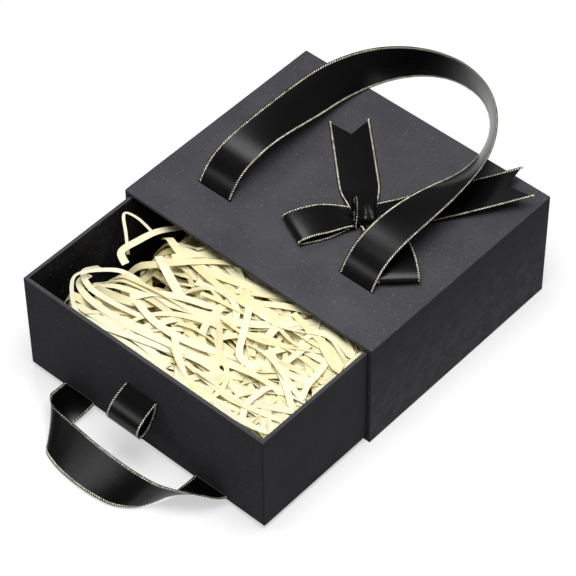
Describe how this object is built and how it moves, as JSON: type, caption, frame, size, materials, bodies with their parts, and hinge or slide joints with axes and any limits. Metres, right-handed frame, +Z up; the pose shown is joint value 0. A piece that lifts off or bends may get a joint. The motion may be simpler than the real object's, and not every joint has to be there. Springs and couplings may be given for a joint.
{
  "type": "drawer gift box",
  "caption": "Rigid black paper gift box: a sliding drawer with paper shred in an open-fronted sleeve, with ribbon handles, a pull tab and a ribbon bow.",
  "frame": {"origin": "centre of the sleeve's underside, which stands on the surface", "axes": "+X to the right along the drawer's front, +Y into the sleeve, away from the drawer's front, +Z up"},
  "size_m": [0.19, 0.3343, 0.1043],
  "materials": {
    "greyboard": "matte",
    "wrap_paper": "matte",
    "lining_paper": "matte",
    "satin_ribbon": "satin",
    "shred_paper": "matte",
    "adhesive_pad": "matte"
  },
  "bodies": {
    "sleeve": {"sleeve_top_board": "greyboard", "sleeve_bottom_board": "greyboard", "sleeve_left_board": "greyboard", "sleeve_right_board": "greyboard", "sleeve_back_board": "greyboard", "sleeve_wrap_paper": "wrap_paper", "sleeve_base_paper": "wrap_paper", "sleeve_lining": "lining_paper", "handle_anchor_left": "satin_ribbon", "handle_anchor_right": "satin_ribbon", "bow_adhesive_pad": "adhesive_pad", "bow_knot": "satin_ribbon", "bow_loop_left": "satin_ribbon", "bow_loop_right": "satin_ribbon", "bow_tail_back": "satin_ribbon", "bow_tail_right": "satin_ribbon"},
    "drawer": {"drawer_base_board": "greyboard", "drawer_front_board": "greyboard", "drawer_back_board": "greyboard", "drawer_left_board": "greyboard", "drawer_right_board": "greyboard", "drawer_wrap_paper": "wrap_paper", "drawer_lining": "lining_paper", "front_handle_anchor_left": "satin_ribbon", "front_handle_anchor_right": "satin_ribbon", "pull_tab_anchor": "satin_ribbon", "paper_shred": "shred_paper"},
    "top_handle": {"handle_ribbon": "satin_ribbon"},
    "front_handle": {"front_handle_ribbon": "satin_ribbon"},
    "pull_tab": {"pull_tab_ribbon": "satin_ribbon"}
  },
  "joints": [
    {"name": "drawer_slide", "type": "slide", "parent": "sleeve", "child": "drawer", "axis": [0, -1, 0], "range_m": [-0.0864, 0.075]},
    {"name": "top_handle_hinge", "type": "hinge", "parent": "sleeve", "child": "top_handle", "pos_m": [0, -0.0462, 0.0795], "axis": [1, 0, 0], "range_deg": [0, 110]},
    {"name": "front_handle_hinge", "type": "hinge", "parent": "drawer", "child": "front_handle", "pos_m": [0, -0.1669, 0.0056], "axis": [-1, 0, 0], "range_deg": [0, 26]},
    {"name": "pull_tab_hinge", "type": "hinge", "parent": "drawer", "child": "pull_tab", "pos_m": [0, -0.1669, 0.0463], "axis": [-1, 0, 0], "range_deg": [0, 20]}
  ]
}
